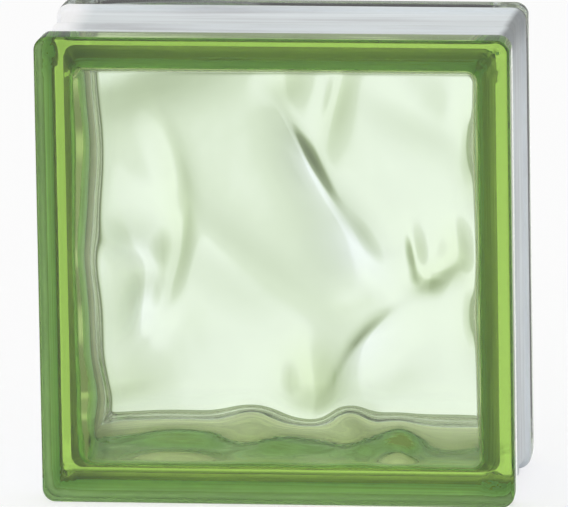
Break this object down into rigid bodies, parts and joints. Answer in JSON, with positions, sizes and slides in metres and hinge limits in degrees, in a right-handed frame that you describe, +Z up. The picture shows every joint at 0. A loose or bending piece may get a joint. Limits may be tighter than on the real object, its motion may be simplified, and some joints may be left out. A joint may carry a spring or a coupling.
{
  "type": "glass block",
  "caption": "Square pressed glass building block, green half fused to a clear half round a sealed air space, with wavy inner faces and recessed edges for mortar.",
  "frame": {"origin": "middle of the underside, on the level that the block stands on, in the plane of the seam", "axes": "+Z up, +Y from the green face to the clear face, +X to the right when the green face is seen from in front"},
  "size_m": [0.19, 0.08, 0.19],
  "materials": {
    "green_glass": "fire-polished, tinted through",
    "clear_glass": "fire-polished, colourless"
  },
  "bodies": {
    "root": {"front_half_shell": "green_glass", "rear_half_shell": "clear_glass"}
  },
  "joints": []
}
